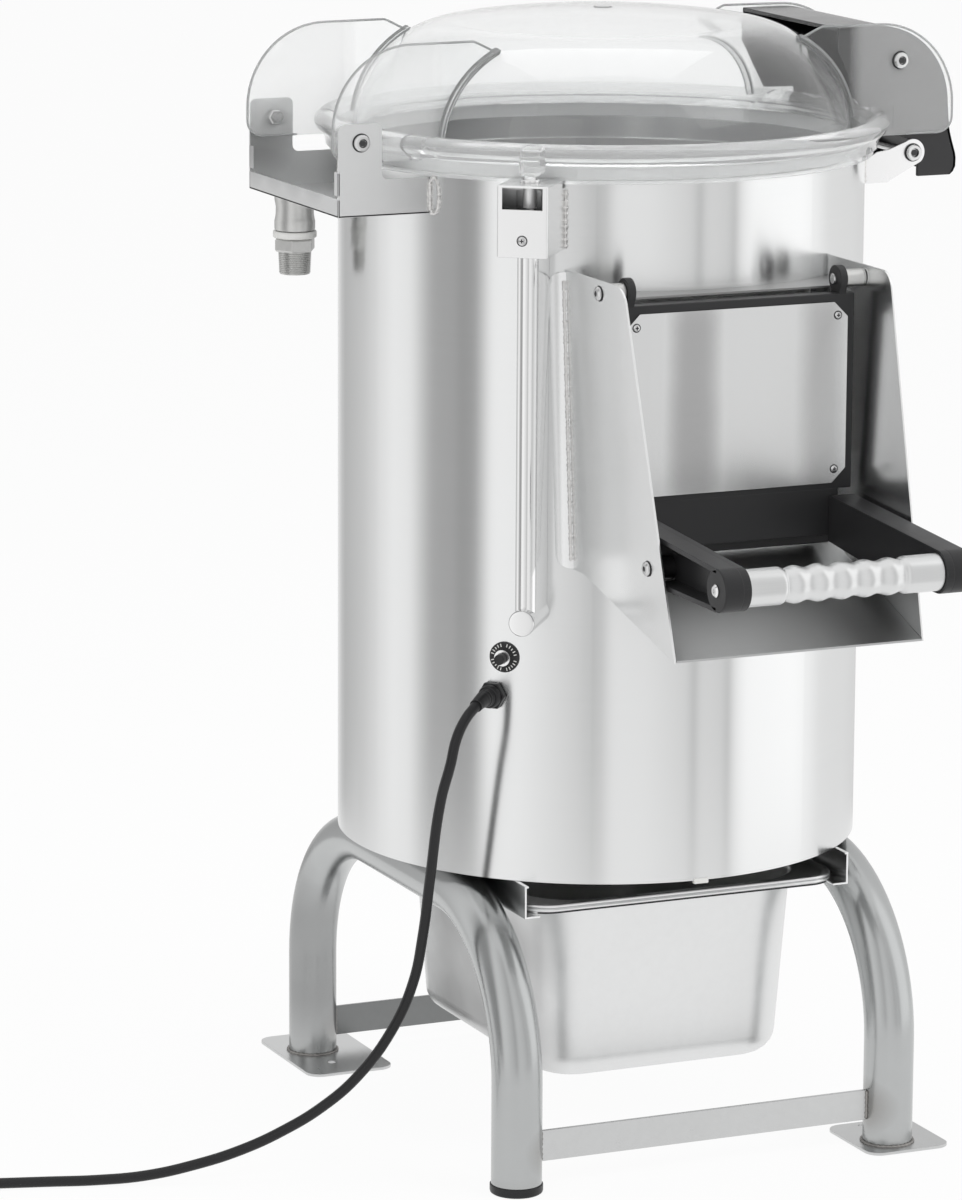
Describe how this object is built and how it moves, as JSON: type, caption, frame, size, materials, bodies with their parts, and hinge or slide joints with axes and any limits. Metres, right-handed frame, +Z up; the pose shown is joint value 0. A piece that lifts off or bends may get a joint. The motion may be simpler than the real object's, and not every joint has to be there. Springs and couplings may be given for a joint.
{
  "type": "potato peeling machine",
  "caption": "Floor-standing peeling machine: steel drum on a tube stand, clear domed lid with latch, discharge chute with a lift-up door, slide-in catch pan and a coiled mains cord.",
  "frame": {"origin": "on the floor, under the middle of the machine's box without its cord", "axes": "+X to the right as seen from the front, -Y towards the front, +Z up"},
  "size_m": [1.1684, 0.847, 1.0876],
  "materials": {
    "stainless": "brushed",
    "grip_metal": "satin",
    "plain_steel": "plain",
    "clear_lid": "clear",
    "black_plastic": "moulded",
    "white_plastic": "moulded",
    "rubber": "matt",
    "grit": "abrasive",
    "cast": "cast",
    "painted": "gloss paint"
  },
  "bodies": {
    "frame": {"leg_arch_left": "stainless", "leg_arch_right": "stainless", "brace_front": "stainless", "brace_rear": "stainless", "foot_plate_front": "stainless", "foot_plate_rear": "stainless", "foot_cap_front": "rubber", "foot_cap_rear": "rubber", "pan_rail_left": "stainless", "pan_rail_right": "stainless", "drum_shell": "stainless", "base_plate": "stainless", "chamber_floor": "plain_steel", "abrasive_liner": "grit", "drain_spout": "stainless", "bearing_housing": "cast", "drive_belt": "rubber", "motor": "painted", "hinge_bracket": "stainless", "hinge_bolt_front": "plain_steel", "hinge_bolt_rear": "plain_steel", "inlet_socket": "stainless", "inlet_washer": "white_plastic", "inlet_nipple": "plain_steel", "latch_bracket": "stainless", "latch_pin": "plain_steel", "interlock_box": "stainless", "interlock_spring": "plain_steel", "interlock_switch": "black_plastic", "interlock_conduit": "stainless", "breaker_body": "black_plastic", "cable_gland": "black_plastic", "power_cord": "rubber", "cord_coil": "rubber", "power_plug": "rubber", "chute_side_left": "stainless", "chute_side_right": "stainless", "chute_floor": "stainless", "chute_top": "stainless", "door_pin_left": "stainless", "door_pin_right": "stainless", "catch_stud_left": "stainless", "catch_stud_right": "stainless"},
    "lid": {"lid": "clear_lid", "lid_seal": "rubber", "latch_screw_front": "plain_steel", "latch_screw_rear": "plain_steel"},
    "latch": {"latch_handle": "black_plastic"},
    "door": {"door_panel": "black_plastic", "door_plate": "stainless", "door_arm_left": "black_plastic", "door_arm_right": "black_plastic", "door_grip": "grip_metal"},
    "pan": {"catch_pan": "stainless"},
    "plunger": {"interlock_plunger": "plain_steel"},
    "button": {"breaker_button": "white_plastic"},
    "disc": {"abrasive_disc": "grit", "drive_shaft": "plain_steel", "driven_pulley": "cast"},
    "motor_shaft": {"motor_pulley": "cast"}
  },
  "joints": [
    {"name": "lid_hinge", "type": "hinge", "parent": "frame", "child": "lid", "pos_m": [-0.301, 0.1095, 0.983], "axis": [0, -1, 0], "range_deg": [0, 90]},
    {"name": "latch_swing", "type": "hinge", "parent": "lid", "child": "latch", "pos_m": [0.2625, 0.1095, 1.0365], "axis": [0, -1, 0], "range_deg": [0, 8]},
    {"name": "door_hinge", "type": "hinge", "parent": "frame", "child": "door", "pos_m": [-0.0035, -0.1805, 0.8585], "axis": [-1, 0, 0], "range_deg": [0, 75]},
    {"name": "pan_slide", "type": "slide", "parent": "frame", "child": "pan", "axis": [0, -1, 0], "range_m": [0, 0.35]},
    {"name": "plunger_press", "type": "slide", "parent": "frame", "child": "plunger", "axis": [0, 0, 1], "range_m": [-0.004, 0], "stiffness_N_per_m": 400, "springref_m": 0.003, "deforming": ["interlock_spring"]},
    {"name": "button_press", "type": "slide", "parent": "frame", "child": "button", "axis": [0.7071, 0.7071, 0], "range_m": [0, 0.003], "stiffness_N_per_m": 600, "springref_m": -0.002},
    {"name": "disc_spin", "type": "hinge", "parent": "frame", "child": "disc", "pos_m": [-0.0035, 0.1095, 0.6], "axis": [0, 0, 1], "continuous": true},
    {"name": "motor_spin", "type": "hinge", "parent": "frame", "child": "motor_shaft", "pos_m": [-0.10956, 0.2359, 0.34], "axis": [0, 0, 1], "continuous": true}
  ],
  "couplings": [
    {"joint": "motor_spin", "follows": "disc_spin", "ratio": 3}
  ]
}
